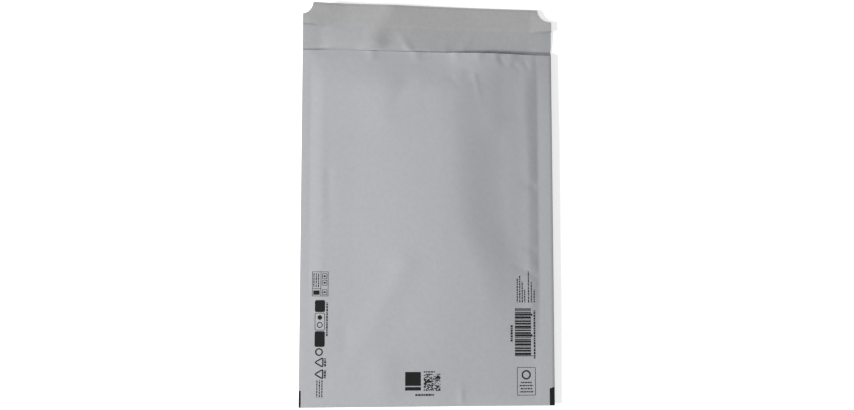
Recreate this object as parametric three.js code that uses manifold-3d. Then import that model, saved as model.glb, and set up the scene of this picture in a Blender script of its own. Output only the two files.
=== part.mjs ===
// A padded mailing envelope, empty and lying on its back with the flap open.
// One paper sheet is folded at the bottom and glued along both sides into a pouch, its back wall runs on
// past the mouth as the flap, a pouch of bubble film lines it, and a peel-off strip covers the flap's glue.
// Millimetres, +Z up. +X runs across the envelope and +Y from the bottom fold to the flap's free edge.

import * as THREE from "three";
import { mergeVertices } from "three/addons/utils/BufferGeometryUtils.js";
import Module from "manifold-3d";

const { clamp, smoothstep } = THREE.MathUtils;

// Outline of the paper
const BODY_WIDTH = 250; // across both side seams
const BODY_LENGTH = 350; // from the bottom fold to the mouth
const FLAP_LENGTH = 47; // from the mouth to the flap's free edge
const PUNCH_RADIUS = 12; // scooped corners of the flap
const PUNCH_SHIFT = -2; // the two punches sit this far off the sheet's middle
const LEFT_SEAM_WIDTH = 10; // flat glued margins
const RIGHT_SEAM_WIDTH = 14;

// Walls
const PAPER = 0.2; // paper wall
const SEAM_FILM = 0.3; // flattened film between the two papers of a seam
const PAD = 2; // height of one layer of bubble film
const LEAST_POCKET = 1; // open height of the pocket where the walls come close and press the film
const END_PAD = 0.8; // height of the film's end, which is pressed flat by the mouth
const FIT_GAP = 0.3; // between the paper and the film
const BOND_GAP = 0.05; // between the layers stuck to the flap

// Padded form
const RIM_RUN = 12; // width of the rounded rim beside a seam
const FOLD_RUN = 12; // length of the rounded rim above the bottom fold
const LIP_RUN = 42; // length over which the front passes from the padding to its lip
const SLACK_WIDTH = 42; // width of the slope of the slack fold
const FLAP_SETTLE = 5; // length past the mouth over which the flap finds its own line
const CLEARANCE = 20; // height above every surface, for cutters

// Heights of the padded form
const SEAM_HEIGHT = 6.6; // middle of the left seam, the highest, above the ground
const SWELL_HEIGHT = 8; // most swell of the padding over the seam line
const SLACK_FALL = 2.4; // depth of the slack fold down the front's right half
const LIP_HEIGHT = 6.8; // most rise of the front lip over the seam line
const FLAP_HEIGHT = 5.4; // ridge of the flap just past the mouth
const FLAP_LIFT = 2.4; // rise of the flap from there to its free edge, at its middle
const FLAP_TWIST = 1; // by which the rise is more at the left end and less at the right

// Curves of the padded form, as points of a place and a share of the height above. A place is a share of the
// half width, counted from the middle to the right, or of the wall's length, counted from the bottom fold.
const SEAM_LINE = [
  [-1, 0.94], [-0.92, 1], [-0.76, 0.86], [-0.48, 0.64], [0, 0.485],
  [0.4, 0.41], [0.7, 0.5], [0.89, 0.64], [1, 0.61],
]; // the side seams, with the bottom fold and the mouth's back lip between them
const SWELL_ACROSS = [
  [-0.92, 0.07], [-0.83, 0.16], [-0.72, 0.29], [-0.48, 0.575], [-0.24, 0.78], [0, 0.93],
  [0.13, 1], [0.32, 1], [0.48, 0.925], [0.64, 0.775], [0.77, 0.59], [0.89, 0.425],
];
const SWELL_ALONG = [
  [0, 0.42], [0.04, 0.48], [0.14, 0.62], [0.28, 0.82], [0.42, 0.95], [0.57, 1], [0.82, 1], [1, 0.9],
];
const SLACK_TRACK = [
  [0, 0.83], [0.14, 0.78], [0.28, 0.7], [0.39, 0.61], [0.5, 0.46], [0.61, 0.42], [0.84, 0.3], [1, 0.26],
]; // where the middle of the slack fold's slope runs
const SLACK_DEPTH = [[0, 0], [0.14, 0.125], [0.28, 0.46], [0.4, 0.75], [0.5, 0.96], [0.72, 1], [1, 0.83]];
const LIP_RISE = [
  [-1, 0], [-0.92, 0.015], [-0.7, 0.045], [-0.48, 0.085], [-0.24, 0.14], [-0.08, 0.27], [0.04, 0.46], [0.16, 0.65],
  [0.26, 0.82], [0.4, 1], [0.67, 0.94], [0.78, 0.71], [0.84, 0.41], [0.89, 0.09], [1, 0.015],
];
const FLAP_LINE = [
  [-1, 0.96], [-0.83, 0.83], [-0.48, 1], [-0.32, 0.85], [0, 0.67], [0.32, 0.44], [0.7, 0.24], [1, 0.15],
];

// Bubble film lining
const LINING_SETBACK = 10; // its end, short of the mouth
const LINING_MARGIN = 4; // its edge, clear of the seams and the bottom fold
const LINING_WELD = 5; // band along its edges where both layers are welded together

// Closure on the flap
const LINER_WIDTH = 21; // peel-off strip
const LINER_INSET = 2; // from the flap's free edge to the strip
const LINER_THICKNESS = 0.1;
const GLUE_WIDTH = 14; // glue line under the strip
const GLUE_INSET = 1.5; // from the strip's upper edge to the glue
const GLUE_SIDE_GAP = 20; // bare paper at each end of the glue line
const GLUE_THICKNESS = 0.1;

// Fineness of the surfaces
const FIELD_STEP = 24; // widest cell of the padded field
const FLAP_STEP = 9; // longest cell of the flap below the strip
const RIM_STEPS = 4; // cells across a rim
const CLOSEST_STEP = 0.4; // grid lines nearer than this are one
const PUNCH_SEGMENTS = 48;
const OVERRUN = 4; // length by which a cutter passes what it cuts

// Places that follow from the sizes, measured from the middle of the bottom fold
const HALF_WIDTH = BODY_WIDTH / 2;
const FREE_EDGE = BODY_LENGTH + FLAP_LENGTH;
const LEFT_SEAM = LEFT_SEAM_WIDTH - HALF_WIDTH;
const RIGHT_SEAM = HALF_WIDTH - RIGHT_SEAM_WIDTH;
const LINING_END = BODY_LENGTH - LINING_SETBACK;
const POCKET_MARGIN = LINING_MARGIN + LINING_WELD;
const LINER_TOP = FREE_EDGE - LINER_INSET;
const LINER_FOOT = LINER_TOP - LINER_WIDTH;
const GLUE_TOP = LINER_TOP - GLUE_INSET;
const GLUE_FOOT = GLUE_TOP - GLUE_WIDTH;
const GLUE_END = HALF_WIDTH - GLUE_SIDE_GAP;
const SEAM_HALF = SEAM_FILM / 2 + PAPER;

const wasm = await Module();
wasm.setup();

// Surfaces of the envelope

// Slope of a curve at one of its points, taken from the neighbours.
function tangent(points, i) {
  const [placeBefore, before] = points[Math.max(0, i - 1)];
  const [placeAfter, after] = points[Math.min(points.length - 1, i + 1)];
  return (after - before) / (placeAfter - placeBefore);
}

// Share given by a smooth curve through its points.
function curve(points, place) {
  const passed = points.filter(([at]) => at <= place).length;
  const i = Math.max(0, Math.min(points.length - 2, passed - 1));
  const [[startPlace, start], [endPlace, end]] = [points[i], points[i + 1]];
  const span = endPlace - startPlace;
  const t = clamp((place - startPlace) / span, 0, 1);
  const bend = (1 - t) * tangent(points, i) - t * tangent(points, i + 1);
  return start + (end - start) * smoothstep(t, 0, 1) + t * (1 - t) * bend * span;
}

const across = (points, x) => curve(points, x / HALF_WIDTH);
const along = (points, y) => curve(points, y / BODY_LENGTH);
const seamLevel = (x) => SEAM_HEIGHT * across(SEAM_LINE, x);

// Share of the padding at a point: 0 along the seams and the bottom fold, 1 over the padded field.
function spread(x, y) {
  const left = smoothstep(x, LEFT_SEAM, LEFT_SEAM + RIM_RUN);
  const right = smoothstep(-x, -RIGHT_SEAM, RIM_RUN - RIGHT_SEAM);
  return left * right * smoothstep(y, 0, FOLD_RUN);
}

// Underside of the back wall. It lies on the ground under the padding, comes up to the seam line past the
// end of the lining, and runs on as the flap, whose left corner stands up.
function backOutside(x, y) {
  const seam = seamLevel(x) - SEAM_HALF;
  const lying = spread(x, y) * (1 - smoothstep(y, LINING_END, BODY_LENGTH));
  const flapShare = Math.max(0, y - BODY_LENGTH) / FLAP_LENGTH;
  const lift = (FLAP_LIFT - (FLAP_TWIST * x) / HALF_WIDTH) * flapShare;
  const flap = FLAP_HEIGHT * across(FLAP_LINE, x) + lift;
  const settled = smoothstep(y, BODY_LENGTH, BODY_LENGTH + FLAP_SETTLE);
  return seam * (1 - lying) + (flap - seam) * settled;
}

// Upper side of the front wall: swollen over the padding, with a slack fold down its right half, and passing
// to its lip at the mouth, which gapes on the right.
function frontOutside(x, y) {
  if (y > BODY_LENGTH) return backOutside(x, y) + CLEARANCE;
  const swell = SWELL_HEIGHT * across(SWELL_ACROSS, x) * along(SWELL_ALONG, y);
  const slackMiddle = along(SLACK_TRACK, y) * HALF_WIDTH;
  const slope = smoothstep(x, slackMiddle - SLACK_WIDTH / 2, slackMiddle + SLACK_WIDTH / 2);
  const padded = (swell - SLACK_FALL * along(SLACK_DEPTH, y) * slope) * spread(x, y);
  const lip = LIP_HEIGHT * across(LIP_RISE, x);
  const toLip = smoothstep(y, BODY_LENGTH - LIP_RUN, BODY_LENGTH);
  return seamLevel(x) + SEAM_HALF + padded + (lip - padded) * toLip;
}

// Height of a layer of film: the full bubbles, or less at the film's end and where the walls come close.
function pad(x, y) {
  const room = frontOutside(x, y) - backOutside(x, y) - 2 * (PAPER + FIT_GAP);
  const bubbles = PAD + (END_PAD - PAD) * smoothstep(y, LINING_END - LIP_RUN, LINING_END);
  return Math.min(bubbles, (room - LEAST_POCKET) / 2);
}

// The same two walls moved inwards, and outwards for a negative depth.
const backInside = (depth) => (x, y) => backOutside(x, y) + depth;
const frontInside = (depth) => (x, y) => frontOutside(x, y) - depth;

// Grid lines that all the layers share, so that their facets stay parallel

function evenMarks(low, high, widest) {
  const count = Math.max(1, Math.ceil((high - low) / widest));
  return Array.from({ length: count + 1 }, (_, i) => low + ((high - low) * i) / count);
}

function tidyMarks(marks) {
  const sorted = [...marks].sort((a, b) => a - b);
  return sorted.filter((mark, i) => i === 0 || mark - sorted[i - 1] > CLOSEST_STEP);
}

const RIM_STEP = RIM_RUN / RIM_STEPS;
const FOLD_STEP = FOLD_RUN / RIM_STEPS;
const MARKS_ACROSS = tidyMarks([
  ...evenMarks(LEFT_SEAM, LEFT_SEAM + RIM_RUN, RIM_STEP),
  ...evenMarks(LEFT_SEAM + RIM_RUN, RIGHT_SEAM - RIM_RUN, FIELD_STEP),
  ...evenMarks(RIGHT_SEAM - RIM_RUN, RIGHT_SEAM, RIM_STEP),
  ...[LINING_MARGIN, POCKET_MARGIN].flatMap((margin) => [LEFT_SEAM + margin, RIGHT_SEAM - margin]),
  ...[-GLUE_END, GLUE_END],
]);
const MARKS_ALONG = tidyMarks([
  ...evenMarks(0, FOLD_RUN, FOLD_STEP),
  ...[LINING_MARGIN, POCKET_MARGIN],
  ...evenMarks(FOLD_RUN, LINING_END, FIELD_STEP),
  ...evenMarks(LINING_END, BODY_LENGTH, LINING_SETBACK / 2),
  ...evenMarks(BODY_LENGTH, LINER_FOOT, FLAP_STEP),
  ...[GLUE_FOOT, GLUE_TOP, LINER_TOP, FREE_EDGE],
]);

function gridLines(low, high, marks) {
  const inner = marks.filter((mark) => mark > low + CLOSEST_STEP && mark < high - CLOSEST_STEP);
  return [low, ...inner, high];
}

// Solids

// A slab between two surfaces over a rectangle, as a box whose grid is moved onto them.
function slab([xLow, xHigh], [yLow, yHigh], bottom, top) {
  const xs = gridLines(xLow, xHigh, MARKS_ACROSS);
  const ys = gridLines(yLow, yHigh, MARKS_ALONG);
  const box = new THREE.BoxGeometry(1, 1, 1, xs.length - 1, ys.length - 1, 1);
  const points = box.attributes.position;
  for (let i = 0; i < points.count; i++) {
    const x = xs[Math.round((points.getX(i) + 0.5) * (xs.length - 1))];
    const y = ys[Math.round((points.getY(i) + 0.5) * (ys.length - 1))];
    points.setXYZ(i, x, y, points.getZ(i) > 0 ? top(x, y) : bottom(x, y));
  }
  return solidOf(box);
}

// An upright round punch through the flap's corner on one side.
function punch(side) {
  const height = 2 * CLEARANCE;
  const cylinder = new THREE.CylinderGeometry(PUNCH_RADIUS, PUNCH_RADIUS, height, PUNCH_SEGMENTS);
  cylinder.rotateX(Math.PI / 2);
  cylinder.translate(side * HALF_WIDTH + PUNCH_SHIFT, FREE_EDGE, 0);
  return solidOf(cylinder);
}

function solidOf(geometry) {
  geometry.deleteAttribute("normal");
  geometry.deleteAttribute("uv");
  const merged = mergeVertices(geometry);
  return new wasm.Manifold(
    new wasm.Mesh({
      numProp: 3,
      vertProperties: new Float32Array(merged.attributes.position.array),
      triVerts: new Uint32Array(merged.index.array),
    }),
  );
}

function geometryOf(solid) {
  const { vertProperties, triVerts } = solid.getMesh();
  const geometry = new THREE.BufferGeometry();
  geometry.setAttribute("position", new THREE.BufferAttribute(vertProperties, 3));
  geometry.setIndex(new THREE.BufferAttribute(triVerts, 1));
  geometry.computeVertexNormals();
  return geometry;
}

// Pieces

function paperOuter() {
  const outside = slab([-HALF_WIDTH, HALF_WIDTH], [0, FREE_EDGE], backOutside, frontOutside);
  const firstFlapLine = MARKS_ALONG.find((mark) => mark > BODY_LENGTH + CLOSEST_STEP);
  const inside = slab(
    [LEFT_SEAM, RIGHT_SEAM],
    [PAPER, firstFlapLine],
    backInside(PAPER),
    frontInside(PAPER),
  );
  const aboveFlap = slab(
    [-HALF_WIDTH - OVERRUN, HALF_WIDTH + OVERRUN],
    [BODY_LENGTH, FREE_EDGE + OVERRUN],
    backInside(PAPER),
    backInside(2 * CLEARANCE),
  );
  return outside.subtract(inside).subtract(aboveFlap).subtract(punch(-1)).subtract(punch(1));
}

function bubbleLining() {
  const clear = PAPER + FIT_GAP;
  const outside = slab(
    [LEFT_SEAM + LINING_MARGIN, RIGHT_SEAM - LINING_MARGIN],
    [LINING_MARGIN, LINING_END],
    backInside(clear),
    frontInside(clear),
  );
  const pocket = slab(
    [LEFT_SEAM + POCKET_MARGIN, RIGHT_SEAM - POCKET_MARGIN],
    [POCKET_MARGIN, LINING_END + OVERRUN],
    (x, y) => backOutside(x, y) + clear + pad(x, y),
    (x, y) => frontOutside(x, y) - clear - pad(x, y),
  );
  return outside.subtract(pocket);
}

function glueLine() {
  const foot = PAPER + BOND_GAP;
  return slab(
    [-GLUE_END, GLUE_END],
    [GLUE_FOOT, GLUE_TOP],
    backInside(foot),
    backInside(foot + GLUE_THICKNESS),
  );
}

function releaseLiner() {
  const foot = PAPER + BOND_GAP + GLUE_THICKNESS + BOND_GAP;
  const strip = slab(
    [-HALF_WIDTH, HALF_WIDTH],
    [LINER_FOOT, LINER_TOP],
    backInside(foot),
    backInside(foot + LINER_THICKNESS),
  );
  return strip.subtract(punch(-1)).subtract(punch(1));
}

// Scene graph. The frame's origin is under the middle of the whole envelope, on the ground.

const whitePaper = new THREE.MeshStandardMaterial({ color: 0xaeafb2, roughness: 0.7, metalness: 0 });
const clearFilm = new THREE.MeshStandardMaterial({ color: 0xd9dcdf, roughness: 0.25, metalness: 0 });
const hotMelt = new THREE.MeshStandardMaterial({ color: 0xb5ae98, roughness: 0.4, metalness: 0 });
const siliconePaper = new THREE.MeshStandardMaterial({ color: 0xa8a8a6, roughness: 0.45, metalness: 0 });

function piece(name, solid, material) {
  const mesh = new THREE.Mesh(geometryOf(solid), material);
  mesh.name = name;
  return mesh;
}

const flapClosure = new THREE.Group();
flapClosure.add(piece("glue_line", glueLine(), hotMelt));
flapClosure.add(piece("release_liner", releaseLiner(), siliconePaper));

const envelope = new THREE.Group();
envelope.add(piece("paper_outer", paperOuter(), whitePaper));
envelope.add(piece("bubble_lining", bubbleLining(), clearFilm));
envelope.add(flapClosure);
envelope.position.y = -FREE_EDGE / 2;

const part = new THREE.Group();
part.add(envelope);

export default part;
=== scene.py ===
# %% [markdown]
# A padded mailing envelope
#
# The envelope lies on its back with the flap open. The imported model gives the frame: four plain solids for
# the paper pouch, the bubble film inside it, and the glue with its peel-off strip on the flap. This lesson
# builds the visible piece for each of them in the same place, adds the print, and sets up a studio table
# around it.

# %% Load the frame
import math
import random

import bmesh
import bpy
from mathutils import Matrix, Vector, noise
from mathutils.bvhtree import BVHTree


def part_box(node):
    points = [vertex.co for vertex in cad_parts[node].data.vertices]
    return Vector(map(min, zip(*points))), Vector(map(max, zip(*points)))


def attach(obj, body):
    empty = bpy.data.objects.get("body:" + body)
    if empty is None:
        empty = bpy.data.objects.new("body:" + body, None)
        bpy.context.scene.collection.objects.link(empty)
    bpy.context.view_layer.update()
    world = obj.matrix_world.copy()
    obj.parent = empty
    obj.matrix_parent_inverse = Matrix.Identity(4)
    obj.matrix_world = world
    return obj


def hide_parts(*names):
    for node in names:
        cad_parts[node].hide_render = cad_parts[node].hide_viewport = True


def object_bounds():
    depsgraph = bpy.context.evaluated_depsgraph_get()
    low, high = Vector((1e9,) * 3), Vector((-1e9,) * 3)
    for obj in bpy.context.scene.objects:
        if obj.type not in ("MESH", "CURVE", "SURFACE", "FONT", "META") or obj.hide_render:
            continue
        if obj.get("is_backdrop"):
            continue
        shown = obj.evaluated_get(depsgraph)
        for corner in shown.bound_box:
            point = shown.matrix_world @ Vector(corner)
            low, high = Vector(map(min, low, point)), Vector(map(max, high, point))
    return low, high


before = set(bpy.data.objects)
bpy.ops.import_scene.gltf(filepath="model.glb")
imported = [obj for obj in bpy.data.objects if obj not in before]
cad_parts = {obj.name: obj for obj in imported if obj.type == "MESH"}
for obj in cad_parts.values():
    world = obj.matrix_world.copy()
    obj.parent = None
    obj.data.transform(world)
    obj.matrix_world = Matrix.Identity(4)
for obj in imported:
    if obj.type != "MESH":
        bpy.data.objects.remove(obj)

cad_low, cad_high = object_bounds()
MM = 0.001
print("nodes in the frame:", sorted(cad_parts))

# %% [markdown]
# Sizes
#
# The outline comes from the frame's boxes. What a box can't tell, such as the width of a seam, is written
# here once. Heights and lengths are in millimetres until the moment a vertex is placed.

# %% Sizes of the envelope in millimetres
paper_low, paper_high = (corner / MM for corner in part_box("paper_outer"))
strip_low, strip_high = (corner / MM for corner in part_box("release_liner"))
glue_low, glue_high = (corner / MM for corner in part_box("glue_line"))
_, film_high = (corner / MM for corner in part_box("bubble_lining"))

LEFT, RIGHT = paper_low.x, paper_high.x
BOTTOM, FREE_EDGE = paper_low.y, paper_high.y
FLAP_LENGTH = 47
MOUTH = FREE_EDGE - FLAP_LENGTH
WALL_LENGTH = MOUTH - BOTTOM
SHEET_LENGTH = 2 * WALL_LENGTH + FLAP_LENGTH
LEFT_SEAM, RIGHT_SEAM = LEFT + 8.4, RIGHT - 14.7
PAPER = 0.2
PUNCH_RADIUS = 12
PUNCH_SHIFT = -2
print(f"pouch {RIGHT - LEFT:.0f} x {WALL_LENGTH:.0f} mm, cut from a sheet {SHEET_LENGTH:.0f} mm long")

# %% [markdown]
# The camera
#
# The photograph looks down on the envelope from a little left of it and a little below its middle. A
# camera fitted to the four corners of the pouch stands just over a metre away with a 46 mm lens. Its up
# side follows the envelope's length, so the camera is built from three directions and not from a tracking
# constraint.

# %% Camera
CAMERA_PLACE = Vector((-113.3, -110.6, 1070.3)) * MM
CAMERA_LOOK = Vector((0.10402, 0.10082, -0.98945))
LENS = 46

camera_data = bpy.data.cameras.new("camera")
camera_data.lens = LENS
camera_data.sensor_width = 36
camera = bpy.data.objects.new("camera", camera_data)
camera_right = CAMERA_LOOK.cross(Vector((0, 1, 0))).normalized()
camera_up = camera_right.cross(CAMERA_LOOK)
turn = Matrix((camera_right, camera_up, -CAMERA_LOOK)).transposed()
camera.matrix_world = Matrix.Translation(CAMERA_PLACE) @ turn.to_4x4()
bpy.context.scene.collection.objects.link(camera)
bpy.context.scene.camera = camera
print("camera height over the table:", round(CAMERA_PLACE.z, 3), "m")

# %% [markdown]
# The form of the paper
#
# A padded envelope is a flat sheet that bubbles hold apart. Paper doesn't stretch, so its form is all in
# its height: flat glued seams, a rounded rim beside each seam, a slack fold that runs down the front, and
# small creases by the mouth. A cloth simulation would swell the paper like fabric and lose these marks, so
# the form is written as functions of a place on the wall, and every later piece asks the same functions
# where it lies.

# %% Helpers for smooth heights
def clamp(t):
    return min(1.0, max(0.0, t))


def ease(t):
    t = clamp(t)
    return t * t * (3 - 2 * t)


def rounded(t):
    return math.sin(math.pi / 2 * clamp(t))


def tangent(points, i):
    """Slope of a curve at one of its points, taken from the neighbours."""
    (x0, v0), (x1, v1) = points[max(0, i - 1)], points[min(len(points) - 1, i + 1)]
    return (v1 - v0) / (x1 - x0)


def through(points, x):
    """A smooth curve through (place, value) points."""
    i = max(0, min(len(points) - 2, sum(1 for place, _ in points if place <= x) - 1))
    (x0, v0), (x1, v1) = points[i], points[i + 1]
    span = x1 - x0
    t = clamp((x - x0) / span)
    bend = (1 - t) * tangent(points, i) - t * tangent(points, i + 1)
    return v0 + (v1 - v0) * ease(t) + t * (1 - t) * bend * span


def ripple(x, y, size, seed):
    """Soft random relief from -1 to 1 with waves of about that size."""
    return noise.noise(Vector((x / size, y / size, seed)))


def crease(x, y, start, end, width, height):
    """A crease that is highest at its start and runs out at its end."""
    ax, ay = end[0] - start[0], end[1] - start[1]
    length = math.hypot(ax, ay)
    along = ((x - start[0]) * ax + (y - start[1]) * ay) / length
    across = ((x - start[0]) * ay - (y - start[1]) * ax) / length
    beyond = max(0.0, -along)
    return height * (1 - clamp(along / length)) * math.exp(-((across / width) ** 2) - (beyond / width) ** 2)


# %% Level of the glued seams
# The envelope is fuller along its left side, so that seam stands higher. The fold and the mouth have
# flatter lines of their own, which reach some way along the wall.
SEAM_LEVELS = (
    (LEFT, 6.55), (LEFT_SEAM, 6.6), (-95, 5.7), (-60, 4.2), (0, 3.2), (50, 2.7), (88, 3.3),
    (RIGHT_SEAM, 4.2), (RIGHT, 4.5),
)
FOLD_LEVELS = (
    (LEFT, 5.9), (LEFT_SEAM, 5.9), (-60, 4.9), (0, 4.0), (50, 3.3), (RIGHT_SEAM, 3.9), (RIGHT, 4.1),
)
MOUTH_LEVELS = (
    (LEFT, 6.55), (LEFT_SEAM, 6.6), (-90, 6.05), (-60, 5.45), (-30, 4.95), (0, 4.2), (40, 3.3), (88, 3.5),
    (RIGHT_SEAM, 4.5), (RIGHT, 4.1),
)
FOLD_REACH, MOUTH_REACH = 110, 95
SEAM_HALF = 0.35
EDGE_TURN, EDGE_WIDTH = 0.3, 0.8


def mixed(a, b, share):
    return a + (b - a) * share


def edge_turn(x):
    """The cut right edge is turned down by the shears."""
    return EDGE_TURN * clamp((x - RIGHT) / EDGE_WIDTH + 1)


def seam_level(x, y):
    """Height of the middle between the two papers of a seam."""
    lower = mixed(through(FOLD_LEVELS, x), through(SEAM_LEVELS, x), ease((y - BOTTOM) / FOLD_REACH))
    return mixed(lower, through(MOUTH_LEVELS, x), ease((y - MOUTH) / MOUTH_REACH + 1)) - edge_turn(x)


print("seams at", seam_level(LEFT, 0), "and", seam_level(RIGHT, 0), "mm")

# %% Swell and slack of the front wall
LEFT_RIM, RIGHT_RIM, FOLD_RIM = 14, 11.5, 12
# Towards the mouth the right rim is wider.
RIM_GROWTH, GROWTH_START, GROWTH_REACH = 4, 40, 60
# Swell of the padding over the seams, from side to side and from the fold to the mouth.
SWELL_ACROSS = (
    (LEFT_SEAM, 0.7), (-104, 1.15), (-90, 1.85), (-75, 2.75), (-60, 3.75), (-30, 5.3), (0, 6.5),
    (16, 7.05), (40, 7.25), (60, 6.8), (80, 5.75), (96, 4.75), (104, 4.3), (RIGHT_SEAM, 4.05),
    (RIGHT_SEAM + 40, 2.0),
)
SWELL_ALONG = (
    (BOTTOM, 0.18), (-184, 0.2), (-150, 0.29), (-100, 0.67), (-51, 0.94), (1, 1.0), (88, 1.0), (MOUTH, 0.9),
)
# The slack fold: the middle of its slope and its depth, down the wall.
SLACK_TRACK = (
    (BOTTOM, 86), (-150, 84), (-105, 82), (-62, 71), (-23, 54), (15, 49), (55, 48), (95, 47), (125, 50),
    (MOUTH, 46),
)
SLACK_DEPTH = (
    (BOTTOM, 0.7), (-150, 1.0), (-100, 1.5), (-58, 2.2), (-23, 2.7), (53, 2.6), (95, 2.3), (MOUTH, 2.0),
)
SLACK_WIDTH = 52
# Towards the bottom fold the crown of the padding leans to the left, but its left rim stays where it is.
LEAN, LEAN_REACH, LEAN_START = 30, 140, 70


def slack(x, y):
    return through(SLACK_DEPTH, y) * ease((x - through(SLACK_TRACK, y)) / SLACK_WIDTH + 0.5)


def swell(x, y):
    lean = LEAN * (1 - ease((y - BOTTOM) / LEAN_REACH)) * ease((x - LEFT_SEAM) / LEAN_START)
    return through(SWELL_ACROSS, x + lean) * through(SWELL_ALONG, y) - slack(x, y)


print("swell over the middle:", round(swell(0, 0), 2), "mm")

# %% Height of the front wall
LIP_RUN = 42
LIP_DROOP, DROOP_REACH = 0.35, 10
LIP_RISE = (
    (LEFT, 0.0), (LEFT_SEAM, 0.1), (-87, 0.2), (-60, 0.6), (-30, 0.8), (-10, 1.2), (5, 1.65), (20, 2.6),
    (32, 3.8), (42, 4.55), (54, 4.8), (64, 4.55), (76, 3.85), (88, 2.95), (98, 1.9), (105, 1.15),
    (RIGHT_SEAM, 0.4), (RIGHT, 0.1),
)
# Each crease: where it starts, where it runs out, its half width and its height, negative for a dent.
FRONT_CREASES = (
    ((46, 128), (54, 94), 2.0, 0.32),
    ((40, 132), (34, 120), 4.0, -0.3),
    ((23, 125), (34, 112), 2.2, -0.25),
    ((-57, 152), (-56, 138), 5.0, 0.6),
    ((-13, 152), (-10, 139), 5.0, 0.55),
    ((27, 152), (28, 140), 4.0, 0.5),
    ((50, 152), (49, 140), 4.5, 0.55),
    ((67, 152), (69, 139), 4.0, 0.5),
    ((84, 152), (83, 140), 4.0, 0.45),
    ((73, 146), (80, 135), 2.6, -0.35),
    ((98, 143), (104, 131), 2.6, -0.3),
    ((87, 141), (94, 132), 2.6, -0.3),
    ((107, 17.5), (90, 21), 3.4, -0.8),
    ((107, -47), (92, -44), 3.2, -0.65),
    ((107, -71), (82, -60), 3.2, -0.65),
    ((33, -198), (31.5, -172), 2.4, 0.6),
    ((-98, 30), (-97, -36), 4.0, -0.22),
    ((-24, -62), (-84, -180), 12.0, 0.6),
    ((-80, -140), (-84, -96), 7.0, -0.25),
    ((-43, -160), (-40, -240), 14.0, 0.55),
    ((65, 84), (62, 165), 13.0, 0.6),
    ((-43, 84), (-46, 150), 14.0, 0.35),
    ((-22, 118), (-42, 84), 10.0, -0.45),
)
# Each wave of the paper: its height, its length and its seed.
FRONT_WAVES = ((0.15, 62, 1.5), (0.05, 26, 4.5), (0.014, 9, 8.5))
BUBBLE_PITCH = 10
SCALLOP = 0.3


def waviness(x, y, waves):
    """Relief of several waves, each with its own height, length and seed."""
    return sum(height * ripple(x, y, length, seed) for height, length, seed in waves)


def front_relief(x, y):
    creases = sum(crease(x, y, *one) for one in FRONT_CREASES)
    return creases + waviness(x, y, FRONT_WAVES)


def front_height(x, y):
    right_rim = RIGHT_RIM + RIM_GROWTH * ease((y - GROWTH_START) / GROWTH_REACH)
    side = rounded((x - LEFT_SEAM) / LEFT_RIM) * rounded((RIGHT_SEAM - x) / right_rim)
    foot = rounded((y - BOTTOM) / FOLD_RIM)
    scallop = SCALLOP * math.sin(2 * math.pi * y / BUBBLE_PITCH) * side * (1 - side)
    relief = front_relief(x, y)
    padded = (swell(x, y) + relief + scallop) * side * foot
    droop = LIP_DROOP * side * ease((y - MOUTH) / DROOP_REACH + 1)
    lip = through(LIP_RISE, x) + relief * side - droop
    return seam_level(x, y) + SEAM_HALF + mixed(padded, lip, ease((y - MOUTH) / LIP_RUN + 1))


print("front height over its middle:", round(front_height(0, 0), 2), "mm")

# %% [markdown]
# The back wall rests on the table under the padding and comes up to the seams at the mouth. From there on
# it is the flap. Just past the mouth the flap settles onto its own line: its left corner stands up, a soft
# ridge runs across it beside the left third, and its right end sinks to the table.

# %% Height of the back wall and the flap
BACK_RIM = 14
DIMPLE, DIMPLE_SIZE, DIMPLE_SEED = 0.12, 22, 11.5
# The flap's height just past the mouth and at its free edge, and the length it takes to settle.
FLAP_NEAR = (
    (LEFT, 4.9), (-114, 4.75), (-104, 4.8), (-60, 6.6), (-39, 4.95), (-20, 4.8), (0, 3.85), (20, 2.75),
    (40, 1.85), (87, 0.7), (RIGHT, 0.2),
)
FLAP_FAR = (
    (LEFT, 10.8), (-104, 9.15), (-81, 7.1), (-60, 6.9), (-38, 7.2), (-24, 6.5), (0, 5.1), (40, 3.3),
    (87, 2.6), (RIGHT, 2.4),
)
CREASE_START = 3
FLAP_SETTLE = ((LEFT, 1.5), (-104, 2.5), (-84, 6), (-60, 11), (-42, 7), (20, 5), (RIGHT, 5))
FLAP_CREASES = (
    ((-58, 151), (-28, 214), 11.0, 1.1),
    ((-43, 153), (-37, 180), 7.0, -0.15),
    ((-18, 152), (-34, 178), 3.6, 0.55),
    ((17, 152), (18, 171), 4.0, 0.25),
    ((36, 156), (46, 172), 4.5, 0.3),
    ((-108, 154), (-100, 196), 8.0, -0.4),
    ((104, 157), (96, 176), 6.0, -0.2),
)
FLAP_WAVES = ((0.12, 48, 21.5), (0.05, 19, 24.5), (0.012, 8, 28.5))
LEAST_HEIGHT = 0.15


def back_height(x, y):
    side = ease((x - LEFT_SEAM) / BACK_RIM) * ease((RIGHT_SEAM - x) / BACK_RIM)
    lying = side * rounded((y - BOTTOM) / BACK_RIM) * (1 - ease((y - film_high.y) / (MOUTH - film_high.y)))
    dimples = DIMPLE * (1 + ripple(x, y, DIMPLE_SIZE, DIMPLE_SEED))
    return mixed(seam_level(x, y) - SEAM_HALF, dimples, lying)


def flap_height(x, y):
    share = (y - MOUTH) / FLAP_LENGTH
    line = mixed(through(FLAP_NEAR, x), through(FLAP_FAR, x), share)
    creases = sum(crease(x, y, *one) for one in FLAP_CREASES)
    start = seam_level(x, y) - SEAM_HALF
    settled = mixed(start, line + waviness(x, y, FLAP_WAVES), ease((y - MOUTH) / through(FLAP_SETTLE, x)))
    return max(LEAST_HEIGHT, settled + creases * clamp((y - MOUTH) / CREASE_START))


print("flap corner heights:", [round(flap_height(x, FREE_EDGE), 1) for x in (LEFT, RIGHT)], "mm")

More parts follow.
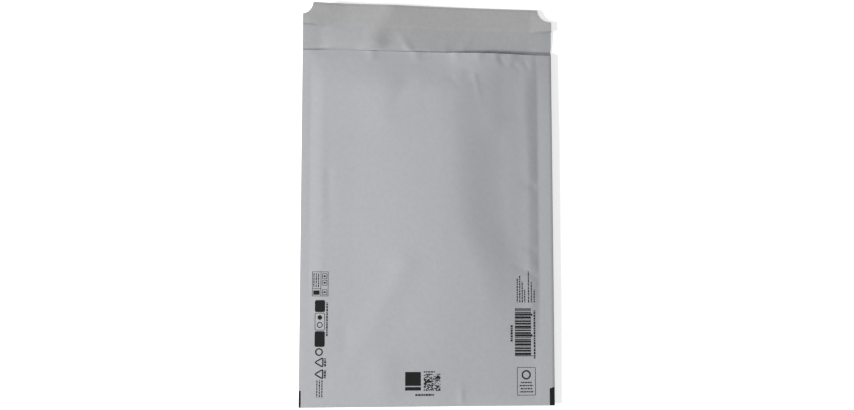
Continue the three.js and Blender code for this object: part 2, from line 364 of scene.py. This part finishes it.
# %% [markdown]
# The paper pouch
#
# The real pouch is one long sheet: front wall, bottom fold, back wall and flap. It is made the same way
# here. A flat grid gets closer lines where the paper bends, each vertex is carried to its place in the
# folded pouch, and the rows at the flap's end are shortened to leave the two scooped corners. Solidify then
# gives the thickness.

# %% Helpers for grids and pieces
def lines(*stretches):
    """Grid lines from stretches of (start, end, widest step)."""
    found = [stretches[0][0]]
    for start, end, step in stretches:
        count = max(1, math.ceil(abs(end - start) / step))
        found += [start + (end - start) * (i + 1) / count for i in range(count)]
    return found


def grid_mesh(columns, rows, place):
    """A grid with these columns and rows, each vertex carried to its place, its cut edges sharp."""
    bm = bmesh.new()
    across, along = len(columns) - 1, len(rows) - 1
    bmesh.ops.create_grid(bm, x_segments=across, y_segments=along, size=0.5)
    for vert in bm.verts:
        column = columns[round((vert.co.x + 0.5) * across)]
        row = rows[round((vert.co.y + 0.5) * along)]
        vert.co = Vector(place(column, row)) * MM
    for edge in bm.edges:
        edge.smooth = not edge.is_boundary
    bm.normal_update()
    return bm


def finished_piece(name, bm, materials, thickness=None, outward=-1, smooth=True):
    """Makes the bmesh an object on the only body. A second material is for the inner side of its wall."""
    mesh = bpy.data.meshes.new(name)
    bm.to_mesh(mesh)
    bm.free()
    for material in materials:
        mesh.materials.append(material)
    if smooth:
        mesh.shade_smooth()
    else:
        mesh.shade_flat()
    piece = bpy.data.objects.new(name, mesh)
    bpy.context.scene.collection.objects.link(piece)
    if thickness:
        wall = piece.modifiers.new("wall", "SOLIDIFY")
        wall.thickness = thickness * MM
        wall.offset = outward
        wall.material_offset = len(materials) - 1
    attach(piece, "root")
    print(f"{name}: {len(mesh.polygons)} faces")
    return piece


# %% Helpers for materials
def new_material(name):
    material = bpy.data.materials.new(name)
    material.use_nodes = True
    tree = material.node_tree
    return material, tree, tree.nodes["Principled BSDF"]


def add_node(tree, kind, inputs=(), **settings):
    node = tree.nodes.new(kind)
    for key, value in settings.items():
        setattr(node, key, value)
    for socket, value in dict(inputs).items():
        if isinstance(value, bpy.types.NodeSocket):
            tree.links.new(value, node.inputs[socket])
        else:
            node.inputs[socket].default_value = value
    return node


def from_srgb(*levels):
    """A colour as a photo's 0 to 255 levels, made linear for a shader."""
    shares = [level / 255 for level in levels]
    return (*[s / 12.92 if s <= 0.04045 else ((s + 0.055) / 1.055) ** 2.4 for s in shares], 1.0)


def speckle(tree, place, scale, detail, low, high):
    """A noise stretched between two greys or colours."""
    texture = add_node(tree, "ShaderNodeTexNoise", {"Vector": place, "Scale": scale, "Detail": detail})
    ramp = add_node(tree, "ShaderNodeValToRGB", {"Fac": texture.outputs["Fac"]})
    ramp.color_ramp.elements[0].position = 0.35
    ramp.color_ramp.elements[1].position = 0.65
    ramp.color_ramp.elements[0].color = low
    ramp.color_ramp.elements[1].color = high
    return ramp.outputs["Color"], texture.outputs["Fac"]


# %% [markdown]
# White mailer paper is matt and faintly mottled, because its fibres don't lie evenly. The photo's exposure
# shows it as a light grey, and that grey is kept as the paper's colour. A noise of a few millimetres gives
# the mottle, a much finer one the tooth, which also drives a small bump. The sheet's inner side is a little
# greyer.

# %% White paper
def make_paper_material(name, light, dark, roughness):
    material, tree, shader = new_material(name)
    place = add_node(tree, "ShaderNodeTexCoord").outputs["Object"]
    mottle, _ = speckle(tree, place, 230, 3, dark, light)
    tooth, grain = speckle(tree, place, 900, 4, from_srgb(249, 249, 249), from_srgb(255, 255, 255))
    colour = add_node(tree, "ShaderNodeMix", data_type="RGBA", blend_type="MULTIPLY")
    colour.inputs["Factor"].default_value = 1.0
    tree.links.new(mottle, colour.inputs["A"])
    tree.links.new(tooth, colour.inputs["B"])
    tree.links.new(colour.outputs["Result"], shader.inputs["Base Color"])
    bump = add_node(tree, "ShaderNodeBump", {"Height": grain, "Strength": 0.12, "Distance": 0.1 * MM})
    tree.links.new(bump.outputs["Normal"], shader.inputs["Normal"])
    shader.inputs["Roughness"].default_value = roughness
    shader.inputs["Specular IOR Level"].default_value = 0.35
    return material


white_paper = make_paper_material("white_paper", from_srgb(176, 177, 180), from_srgb(173, 174, 177), 0.55)
inner_paper = make_paper_material("inner_paper", from_srgb(170, 171, 173), from_srgb(166, 167, 169), 0.6)

# %% The folded sheet
COLUMNS = lines(
    (LEFT, LEFT_SEAM, 2.5),
    (LEFT_SEAM, LEFT_SEAM + LEFT_RIM, 1.2),
    (LEFT_SEAM + LEFT_RIM, RIGHT_SEAM - RIGHT_RIM, 2.0),
    (RIGHT_SEAM - RIGHT_RIM, RIGHT_SEAM, 1.2),
    (RIGHT_SEAM, RIGHT - EDGE_WIDTH, 2.5),
    (RIGHT - EDGE_WIDTH, RIGHT, EDGE_WIDTH),
)
FOLD_LINE = WALL_LENGTH
FLAP_LINE = 2 * WALL_LENGTH
PUNCH_LINE = SHEET_LENGTH - PUNCH_RADIUS
# The filled pouch draws both ends of its mouth back a little, each over a stretch of its width. The flat
# flap spreads wider than the body.
LEFT_DRAW, LEFT_DRAW_START, LEFT_DRAW_RUN = 0.9, -80, 45
RIGHT_DRAW, RIGHT_DRAW_START, RIGHT_DRAW_RUN = 0.45, 70, 50
DRAW_REACH = 20
FLAP_SPREAD, SPREAD_REACH = 0.9, 12
ROWS = lines(
    (0, 22, 1.1),
    (22, FOLD_LINE - FOLD_RIM, 2.5),
    (FOLD_LINE - FOLD_RIM, FOLD_LINE - 0.4, 1.0),
    (FOLD_LINE - 0.4, FOLD_LINE + 0.4, 0.4),
    (FOLD_LINE + 0.4, FOLD_LINE + BACK_RIM, 1.5),
    (FOLD_LINE + BACK_RIM, FLAP_LINE - 12, 6),
    (FLAP_LINE - 12, FLAP_LINE, 1.5),
    (FLAP_LINE, FLAP_LINE + 6, 0.75),
    (FLAP_LINE + 6, PUNCH_LINE, 1.5),
) + [SHEET_LENGTH - PUNCH_RADIUS * math.cos(math.radians(turned)) for turned in range(5, 95, 5)]


def punched(x, y):
    """Draws a row of the flap in at both ends where the round punches have cut it."""
    low, high = LEFT, RIGHT + FLAP_SPREAD * ease((y - MOUTH) / SPREAD_REACH)
    depth = FREE_EDGE - y
    if depth < PUNCH_RADIUS:
        cut = math.sqrt(PUNCH_RADIUS**2 - depth**2)
        low = max(low, low + PUNCH_SHIFT + cut)
        high = min(high, high + PUNCH_SHIFT - cut)
    return low + (x - LEFT) * (high - low) / (RIGHT - LEFT)


def drawn(x, y):
    """Draws the two ends of the mouth back."""
    left_pull = LEFT_DRAW * ease((LEFT_DRAW_START - x) / LEFT_DRAW_RUN)
    right_pull = RIGHT_DRAW * ease((x - RIGHT_DRAW_START) / RIGHT_DRAW_RUN)
    return y - (left_pull + right_pull) * (1 - ease(abs(y - MOUTH) / DRAW_REACH))


def folded(x, row):
    """Carries a point of the flat sheet, counted from the front lip, to its place in the pouch."""
    if abs(row - FOLD_LINE) < 0.01:
        return x, BOTTOM, seam_level(x, BOTTOM)
    if row < FOLD_LINE:
        return x, drawn(x, MOUTH - row), front_height(x, MOUTH - row)
    if row < FLAP_LINE:
        y = BOTTOM + row - FOLD_LINE
        return x, drawn(x, y), back_height(x, y)
    y = min(FREE_EDGE, MOUTH + row - FLAP_LINE)
    x = punched(x, y)
    return x, drawn(x, y), flap_height(x, y)


sheet_mesh = grid_mesh(COLUMNS, ROWS, folded)
bmesh.ops.reverse_faces(sheet_mesh, faces=sheet_mesh.faces)
sheet_mesh.normal_update()
paper_surface = BVHTree.FromBMesh(sheet_mesh)
paper_pouch = finished_piece("paper_pouch", sheet_mesh, (white_paper, inner_paper), PAPER)
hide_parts("paper_outer")

# %% [markdown]
# The bubble film
#
# The lining is a clear film with a flat side towards the pocket and round bubbles towards the paper. It
# shows only at the mouth, but it is made whole. The flat film is folded like the paper and lies one
# bubble's height inside it. Its wall is extruded by the film's thickness and not solidified evenly, because
# an even wall throws long spikes where the film is folded flat. One low dome, made once, is set on it in
# staggered rows.

# %% Clear film
BUBBLE_HEIGHT = 2.0
PRESSED = 0.4
BUBBLE_RADIUS = 4.4
FILM = 0.06
FILM_GAP = 0.1
BUBBLE_CLEAR, LEAST_BUBBLE = 0.3, 0.7


def film_levels(x, y):
    """Heights of the film's two layers at a place, pressed together where the walls are close."""
    front = front_height(x, y) - PAPER
    back = back_height(x, y) + PAPER
    middle = (front + back) / 2
    room = BUBBLE_HEIGHT * (1 - PRESSED * ease((y - film_high.y) / LIP_RUN + 1)) + FILM_GAP
    return max(front - room, middle + FILM_GAP / 2), min(back + room, middle - FILM_GAP / 2)


film_material, film_tree, film_shader = new_material("clear_film")
film_place = add_node(film_tree, "ShaderNodeTexCoord").outputs["Object"]
film_colour, _ = speckle(film_tree, film_place, 120, 2, from_srgb(214, 218, 222), from_srgb(232, 235, 238))
film_tree.links.new(film_colour, film_shader.inputs["Base Color"])
film_shader.inputs["Roughness"].default_value = 0.22
film_shader.inputs["Alpha"].default_value = 0.6
film_shader.inputs["IOR"].default_value = 1.5

# %% The folded film
FILM_END = film_high.y
FILM_EDGE = 0.9
FILM_FOLD = FILM_END - BOTTOM - FILM_EDGE
film_columns = lines(
    (LEFT + FILM_EDGE, LEFT_SEAM, 5),
    (LEFT_SEAM, LEFT_SEAM + BACK_RIM, 2),
    (LEFT_SEAM + BACK_RIM, RIGHT_SEAM - BACK_RIM, 6),
    (RIGHT_SEAM - BACK_RIM, RIGHT_SEAM, 2),
    (RIGHT_SEAM, RIGHT - FILM_EDGE, 5),
)
film_rows = lines(
    (0, FILM_FOLD - BACK_RIM, 6),
    (FILM_FOLD - BACK_RIM, FILM_FOLD + BACK_RIM, 2),
    (FILM_FOLD + BACK_RIM, 2 * FILM_FOLD, 6),
)


def folded_film(x, row):
    y = FILM_END - row if row <= FILM_FOLD else BOTTOM + FILM_EDGE + row - FILM_FOLD
    front, back = film_levels(x, y)
    if abs(row - FILM_FOLD) < 0.01:
        return x, y, (front + back) / 2
    return x, y, front if row < FILM_FOLD else back


film_mesh = grid_mesh(film_columns, film_rows, folded_film)
bmesh.ops.reverse_faces(film_mesh, faces=film_mesh.faces)
film_mesh.normal_update()
outward = {tuple(vert.co): vert.normal.copy() for vert in film_mesh.verts}
wall = bmesh.ops.extrude_face_region(film_mesh, geom=film_mesh.faces[:], use_keep_orig=True)
for made in wall["geom"]:
    if isinstance(made, bmesh.types.BMVert):
        made.co += outward[tuple(made.co)] * FILM * MM
bmesh.ops.recalc_face_normals(film_mesh, faces=film_mesh.faces[:])
print("film faces:", len(film_mesh.faces))

# %% One bubble, one unit wide and high
DOME_TOP, DOME_BEVEL = 0.72, 0.28
dome = bmesh.new()
bmesh.ops.create_cone(dome, cap_ends=True, segments=10, radius1=1, radius2=DOME_TOP, depth=1,
                      matrix=Matrix.Translation((0, 0, 0.5)))
crown_edges = [edge for edge in dome.edges if all(vert.co.z > 0.9 for vert in edge.verts)]
bmesh.ops.bevel(dome, geom=crown_edges, offset=DOME_BEVEL, segments=2, profile=0.5, affect="EDGES",
                material=-1)
dome_mesh = bpy.data.meshes.new("bubble_shape")
dome.to_mesh(dome_mesh)
dome.free()
print("faces of one bubble:", len(dome_mesh.polygons))

# %% The bubbles on the film
FIRST_BUBBLE = 5
EDGE_MARGIN = 0.4


def bubble_places():
    """Staggered places of the bubbles over the lined field."""
    row_pitch = BUBBLE_PITCH * math.sqrt(3) / 2
    for j in range(int((FILM_END - BOTTOM) / row_pitch)):
        y = FILM_END - BUBBLE_RADIUS - EDGE_MARGIN - j * row_pitch
        for i in range(int((RIGHT_SEAM - LEFT_SEAM) / BUBBLE_PITCH)):
            yield LEFT_SEAM + FIRST_BUBBLE + (i + 0.5 * (j % 2)) * BUBBLE_PITCH, y


def bubble_rooms(x, y, front, back):
    """Free height over and under the film for a bubble, none where its foot would cut the other wall."""
    around = [(x, y)]
    for i in range(8):
        turned = math.radians(45 * i)
        around.append((x + BUBBLE_RADIUS * math.cos(turned), y + BUBBLE_RADIUS * math.sin(turned)))
    roof = min(front_height(*place) for place in around) - PAPER
    ground = max(back_height(*place) for place in around) + PAPER
    above = roof - front if front > ground + FILM else 0
    below = back - ground if back < roof - FILM else 0
    return above, below


bubbles = 0
for x, y in bubble_places():
    front, back = film_levels(x, y)
    rooms = bubble_rooms(x, y, front, back)
    for level, room, side in ((front, rooms[0], 1), (back, rooms[1], -1)):
        height = room - BUBBLE_CLEAR
        if height < LEAST_BUBBLE:
            continue
        known = len(film_mesh.verts)
        film_mesh.from_mesh(dome_mesh)
        film_mesh.verts.ensure_lookup_table()
        for vert in film_mesh.verts[known:]:
            wide, long = vert.co.x * BUBBLE_RADIUS, side * vert.co.y * BUBBLE_RADIUS
            foot = Vector((x, y, level + side * FILM / 2))
            vert.co = (foot + Vector((wide, long, side * vert.co.z * height))) * MM
        bubbles += 1
bpy.data.meshes.remove(dome_mesh)
bubble_film = finished_piece("bubble_film", film_mesh, [film_material])
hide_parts("bubble_lining")
print("bubbles:", bubbles)

# %% [markdown]
# The closure
#
# A band of glue lies on the flap under a peel-off paper strip. The strip is as wide as the flap and was
# punched together with it. Its lower edge bends down past the glue to the paper. At its two ends it isn't
# stuck, so it lifts a little there and leaves a dark line.

# %% Glue band
glue_material, glue_tree, glue_shader = new_material("pale_glue")
glue_place = add_node(glue_tree, "ShaderNodeTexCoord").outputs["Object"]
glue_colour, _ = speckle(glue_tree, glue_place, 260, 3, from_srgb(178, 172, 156), from_srgb(192, 187, 172))
glue_tree.links.new(glue_colour, glue_shader.inputs["Base Color"])
glue_shader.inputs["Roughness"].default_value = 0.35

GLUE, BOND = 0.1, 0.03


def on_flap(height):
    """Places a point of a strip at that height over the flap's paper."""
    return lambda x, y: (x, y, flap_height(x, y) + PAPER + height)


glue_columns = lines((glue_low.x, glue_high.x, 3))
glue_mesh = grid_mesh(glue_columns, lines((glue_low.y, glue_high.y, 1.5)), on_flap(BOND))
glue_band = finished_piece("glue_band", glue_mesh, [glue_material], GLUE, outward=1)
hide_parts("glue_line")

# %% Peel-off strip
STRIP = 0.1
STRIP_TUCK = 2.2
LEFT_FREE, RIGHT_FREE = LEFT + 40, RIGHT - 20.5
# The left end: how high it lifts, over which run, and how its outermost tip sinks back.
STRIP_LIFT, LIFT_RUN, LIFT_FADE = 0.9, 30, 1.4
TIP, TIP_SINK = 7, 0.25
# The right end curls up, less towards its upper edge.
STRIP_CURL, CURL_LOW, CURL_FADE = 1.5, 1.2, 0.5
# Both ends stand up most along a narrow brim at the lower edge.
STRIP_BRIM, BRIM_WIDTH, RIGHT_BRIM = 0.8, 1.4, 1.5
LEFT_BRIM_END, LEFT_BRIM_RUN = LEFT + 14, 8


def on_glue(x, y):
    """Places a point of the strip on the glue, lifted at its free ends."""
    x = punched(x, y)
    above = y - strip_low.y
    share = above / (strip_high.y - strip_low.y)
    left_end = ease((LEFT_FREE - x) / LIFT_RUN) - TIP_SINK * ease((LEFT + TIP - x) / TIP)
    right_end = clamp((x - RIGHT_FREE) / (RIGHT - RIGHT_FREE))
    free_end = RIGHT_BRIM * right_end + ease((LEFT_BRIM_END - x) / LEFT_BRIM_RUN)
    lift = STRIP_LIFT * left_end * (1 - ease(share * LIFT_FADE))
    curl = STRIP_CURL * right_end * (CURL_LOW - CURL_FADE * share)
    brim = STRIP_BRIM * free_end * (1 - clamp(above / BRIM_WIDTH))
    tuck = (GLUE + BOND) * (1 - clamp(left_end + right_end)) * (1 - rounded(above / STRIP_TUCK))
    return x, y, flap_height(x, y) + PAPER + GLUE + 2 * BOND + lift + curl + brim - tuck


strip_material = make_paper_material(
    "release_paper", from_srgb(172, 172, 173), from_srgb(168, 168, 169), 0.42
)
strip_columns = lines((LEFT, LEFT_FREE, 1.5), (LEFT_FREE, RIGHT_FREE, 3), (RIGHT_FREE, RIGHT, 1.5))
strip_mesh = grid_mesh(strip_columns, lines((strip_low.y, strip_high.y, 0.7)), on_glue)
peel_strip = finished_piece("peel_strip", strip_mesh, [strip_material], STRIP, outward=1)
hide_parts("release_liner")

# %% [markdown]
# The print
#
# The envelope carries small black print near its lower edge. Each mark here is a plain shape: bars, frames,
# rings, triangles, checks and rows of short dashes. A mark starts as a flat bmesh shape, is cut along the
# paper's own grid lines so that it can bend with the paper, and is then laid on the paper.

# %% Ink and the helpers that lay it on the paper
ink_material, ink_tree, ink_shader = new_material("black_ink")
ink_place = add_node(ink_tree, "ShaderNodeTexCoord").outputs["Object"]
ink_colour, _ = speckle(ink_tree, ink_place, 700, 2, from_srgb(8, 8, 9), from_srgb(16, 16, 17))
ink_tree.links.new(ink_colour, ink_shader.inputs["Base Color"])
ink_shader.inputs["Roughness"].default_value = 0.6
ink_shader.inputs["Specular IOR Level"].default_value = 0.2

INK, INK_GAP = 0.03, 0.025
DASH, DASH_MORE, DASH_TURN, DASH_GAP, LEAST_DASH = 0.8, 1.7, 2.3, 0.55, 0.3
RAY_START = 30
FRONT_ROWS = [MOUTH - row for row in ROWS if row < FOLD_LINE]


def block(bm, x0, x1, y0, y1):
    """A plain field of ink."""
    middle = Matrix.Translation(((x0 + x1) / 2, (y0 + y1) / 2, 0))
    size = Matrix.Diagonal((x1 - x0, y1 - y0, 1, 1))
    made = bmesh.ops.create_grid(bm, x_segments=1, y_segments=1, size=0.5, matrix=middle @ size)
    return made["verts"]


def outline(bm, verts, line):
    """Turns a field into a line round its edge."""
    faces = list({face for vert in verts for face in vert.link_faces})
    bmesh.ops.inset_region(bm, faces=faces, thickness=line, use_boundary=True, use_even_offset=True)
    bmesh.ops.delete(bm, geom=faces, context="FACES")


def round_corners(bm, verts, radius):
    """Rounds the corners of a field."""
    made = bmesh.ops.bevel(bm, geom=verts, offset=radius, segments=4, profile=0.5, affect="VERTICES",
                           material=-1)
    return made["verts"]


def disc(bm, x, y, radius, segments=24):
    """A round field, or with three segments a triangle that points to the left."""
    turned = Matrix.Rotation(math.radians(90), 4, "Z")
    made = bmesh.ops.create_circle(bm, cap_ends=True, segments=segments, radius=radius,
                                   matrix=Matrix.Translation((x, y, 0)) @ turned)
    return made["verts"]


def dashes(start, end, seed):
    """Starts and ends of a row of short dashes of uneven length."""
    count = 0
    while start < end - LEAST_DASH:
        length = DASH + DASH_MORE * abs(math.sin(seed + DASH_TURN * count))
        yield start, min(end, start + length)
        start += length + DASH_GAP
        count += 1


def dashes_up(bm, x0, x1, y0, y1, seed):
    """A row of short dashes that runs up the sheet."""
    for low, high in dashes(y0, y1, seed):
        block(bm, x0, x1, low, high)


def dashes_across(bm, x0, x1, y0, y1, seed):
    """A row of short dashes that runs across the sheet."""
    for low, high in dashes(x0, x1, seed):
        block(bm, low, high, y0, y1)


def cut_across(bm, marks, axis):
    """Cuts flat ink along grid lines of the paper."""
    reach = [vert.co[axis] for vert in bm.verts]
    normal = Vector((1, 0, 0)) if axis == 0 else Vector((0, 1, 0))
    for mark in marks:
        if min(reach) < mark < max(reach):
            everything = bm.verts[:] + bm.edges[:] + bm.faces[:]
            bmesh.ops.bisect_plane(bm, geom=everything, plane_co=normal * mark, plane_no=normal, dist=1e-4)


def print_on_paper(name, bm):
    """Lays flat ink on the front wall as a thin closed layer."""
    cut_across(bm, COLUMNS, 0)
    cut_across(bm, FRONT_ROWS, 1)
    for vert in bm.verts:
        start = Vector((vert.co.x, vert.co.y, RAY_START)) * MM
        hit, *_ = paper_surface.ray_cast(start, Vector((0, 0, -1)))
        vert.co = hit + Vector((0, 0, INK_GAP * MM))
    bmesh.ops.recalc_face_normals(bm, faces=bm.faces[:])
    for face in bm.faces:
        if face.normal.z < 0:
            face.normal_flip()
    finished_piece(name, bm, [ink_material], INK, outward=1, smooth=False)


# %% Left column: a frame, dark panels, a ring and two triangles
left_print = bmesh.new()
outline(left_print, block(left_print, -113.2, -97.6, -92.0, -68.2), 0.45)
block(left_print, -112.4, -105.1, -85.0, -84.5)
block(left_print, -105.0, -104.5, -91.4, -68.8)
for low in (-90.8, -81.7, -75.4):
    small_frame = block(left_print, -103.6, -98.8, low, low + 5.4)
    outline(left_print, round_corners(left_print, small_frame, 0.9), 0.5)
    block(left_print, -102.2, -100.2, low + 1.9, low + 3.5)
for column in range(3):
    edge = -112.0 + 2.2 * column
    dashes_up(left_print, edge, edge + 1.0, -83.2, -69.8, 0.7 * column)
block(left_print, -112.0, -106.0, -90.6, -86.4)
PANEL = (-110.3, -100.6)
round_corners(left_print, block(left_print, *PANEL, -107.2, -95.7), 1.6)
outline(left_print, round_corners(left_print, block(left_print, *PANEL, -124.8, -108.0), 1.6), 0.5)
disc(left_print, -105.5, -112.4, 2.2)
outline(left_print, disc(left_print, -105.5, -119.6, 2.8), 0.8)
round_corners(left_print, block(left_print, *PANEL, -140.6, -125.6), 1.6)
dashes_up(left_print, -99.3, -97.9, -130.3, -97.9, 1.2)
outline(left_print, disc(left_print, -106.0, -145.5, 3.8), 1.3)
for middle in (-155.4, -166.6):
    corners = round_corners(left_print, disc(left_print, -104.8, middle, 6.4, segments=3), 2.6)
    outline(left_print, corners, 1.2)
    dashes_up(left_print, -100.9, -99.2, middle - 3.9, middle + 3.9, middle)
for column in range(3):
    edge = -108.2 + 2.4 * column
    dashes_up(left_print, edge, edge + 1.0, -188.6, -172.4, 1.9 * column)
print_on_paper("print_left_column", left_print)

# %% Bottom middle: a dark patch, a checked patch and a line of dashes
middle_print = bmesh.new()
block(middle_print, -22.7, -7.4, -178.4, -165.0)
block(middle_print, -22.7, -7.4, -182.8, -179.4)
CHECKS = 17
CHECK_SIZE = 16.4 / CHECKS
CHECK_INK = CHECK_SIZE - 0.02
CHECK_SHARE = 0.56
chance = random.Random(11)
for i in range(CHECKS):
    for j in range(CHECKS):
        if chance.random() < CHECK_SHARE:
            x0, y0 = -4.6 + i * CHECK_SIZE, -183.2 + j * CHECK_SIZE
            block(middle_print, x0, x0 + CHECK_INK, y0, y0 + CHECK_INK)
dashes_across(middle_print, -4.6, 7.0, -165.6, -164.4, 0.4)
dashes_across(middle_print, -12.8, 5.4, -188.0, -186.2, 2.1)
print_on_paper("print_bottom_middle", middle_print)

# %% Right column: rows of dashes, bars, and a framed mark
right_print = bmesh.new()
LINE_FOOT = -97.7
for column, length in enumerate((24.0, 26.0, 20.2, 12.4)):
    edge = 87.5 + 2.5 * column
    dashes_up(right_print, edge, edge + 1.1, LINE_FOOT, LINE_FOOT + length, column)
for column, length in enumerate((30.5, 20.2, 12.4)):
    edge = 98.8 + 2.9 * column
    dashes_up(right_print, edge, edge + 1.1, LINE_FOOT, LINE_FOOT + length, 5 + column)
# The bars have four widths and three gaps, which follow each other in a fixed order without a meaning.
BAR_TOP = -103.6
bar_foot, bar_count = -150.3, 0
while bar_foot < BAR_TOP - 0.5:
    bar = 0.8 + 0.5 * (bar_count * 7 % 4)
    block(right_print, 85.6, 101.7 if bar_count % 9 else 103.2, bar_foot, min(BAR_TOP, bar_foot + bar))
    bar_foot += bar + 0.35 + 0.3 * (bar_count * 5 % 3)
    bar_count += 1
dashes_up(right_print, 104.4, 106.1, -152.6, -105.0, 3.3)
dashes_up(right_print, 81.3, 83.3, -136.0, -119.2, 0.9)
outline(right_print, round_corners(right_print, block(right_print, 87.5, 106.0, -188.4, -161.0), 0.8), 0.5)
outline(right_print, disc(right_print, 96.7, -168.4, 4.6), 1.4)
for line in range(4):
    row = -185.5 + 3.0 * line
    dashes_across(right_print, 90.1 + line % 2, 103.5 - line % 2, row, row + 1.2, line)
print_on_paper("print_right_column", right_print)

# %% Register marks on the side edges
edge_print = bmesh.new()
block(edge_print, LEFT + 0.1, -123.0, -198.2, -182.3)
right_mark = block(edge_print, 119.9, RIGHT - 0.1, -198.2, -180.0)
# The right mark's upper end is cut at a slant.
for vert in right_mark:
    if vert.co.x < 121 and vert.co.y > -190:
        vert.co.y -= 1.8
print_on_paper("print_register_marks", edge_print)

# %% [markdown]
# The studio
#
# The table is white and lit by one soft lamp from the lower left, with a soft grey surround as fill. To the
# camera the table looks white, but it still shows the envelope's shadow, because only part of what the
# camera sees of it is a glow of its own.

# %% Table
FLOOR_SIZE = 6.0
FLOOR_DROP = 0.2 * MM
FLOOR_GLOW = 0.62


def seen_directly(tree):
    """1 for what the camera sees, also mirrored or through film, and 0 for light that lights the scene."""
    path = add_node(tree, "ShaderNodeLightPath").outputs
    seen_or_mirrored = {0: path["Is Camera Ray"], 1: path["Is Glossy Ray"]}
    mirrored = add_node(tree, "ShaderNodeMath", seen_or_mirrored, operation="MAXIMUM")
    through_film = {0: mirrored.outputs["Value"], 1: path["Is Transmission Ray"]}
    return add_node(tree, "ShaderNodeMath", through_film, operation="MAXIMUM").outputs["Value"]


floor_material, floor_tree, floor_shader = new_material("white_table")
floor_shader.inputs["Base Color"].default_value = from_srgb(244, 244, 244)
floor_shader.inputs["Roughness"].default_value = 0.8
floor_shader.inputs["Specular IOR Level"].default_value = 0.1
floor_glow = add_node(floor_tree, "ShaderNodeMath", {1: FLOOR_GLOW}, operation="MULTIPLY")
floor_tree.links.new(seen_directly(floor_tree), floor_glow.inputs[0])
floor_shader.inputs["Emission Color"].default_value = (1, 1, 1, 1)
floor_tree.links.new(floor_glow.outputs["Value"], floor_shader.inputs["Emission Strength"])

floor_mesh = bmesh.new()
bmesh.ops.create_grid(floor_mesh, x_segments=1, y_segments=1, size=FLOOR_SIZE,
                      matrix=Matrix.Translation((0, 0, -FLOOR_DROP)))
floor_data = bpy.data.meshes.new("table")
floor_mesh.to_mesh(floor_data)
floor_mesh.free()
floor_data.materials.append(floor_material)
floor = bpy.data.objects.new("table", floor_data)
bpy.context.scene.collection.objects.link(floor)
floor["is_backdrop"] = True

# %% Lamp and surround
KEY_PLACE = Vector((-2.3, -0.5, 1.1))
KEY_SIZE = 0.5
KEY_POWER = 113
SURROUND = 0.25

key_data = bpy.data.lights.new("soft_lamp", "AREA")
key_data.energy = KEY_POWER
key_data.size = KEY_SIZE
key = bpy.data.objects.new("soft_lamp", key_data)
key.location = KEY_PLACE
key.rotation_euler = (-KEY_PLACE).to_track_quat("-Z", "Y").to_euler()
bpy.context.scene.collection.objects.link(key)

world = bpy.data.worlds.new("surround")
world.use_nodes = True
world_tree = world.node_tree
background = world_tree.nodes["Background"]
background.inputs["Color"].default_value = (1, 1, 1, 1)
world_level = add_node(world_tree, "ShaderNodeMapRange", {"To Min": SURROUND, "To Max": 1.0})
world_tree.links.new(seen_directly(world_tree), world_level.inputs["Value"])
world_tree.links.new(world_level.outputs["Result"], background.inputs["Strength"])
bpy.context.scene.world = world
bpy.context.scene.view_settings.view_transform = "Standard"
print("lamp", KEY_POWER, "W, surround", SURROUND)

# %% Sizes of the frame and of the visible pieces
low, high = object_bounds()
{"cad": [list(cad_low), list(cad_high)], "visual": [list(low), list(high)]}
print("visual box in mm:", [round(value / MM, 1) for value in (*low, *high)])
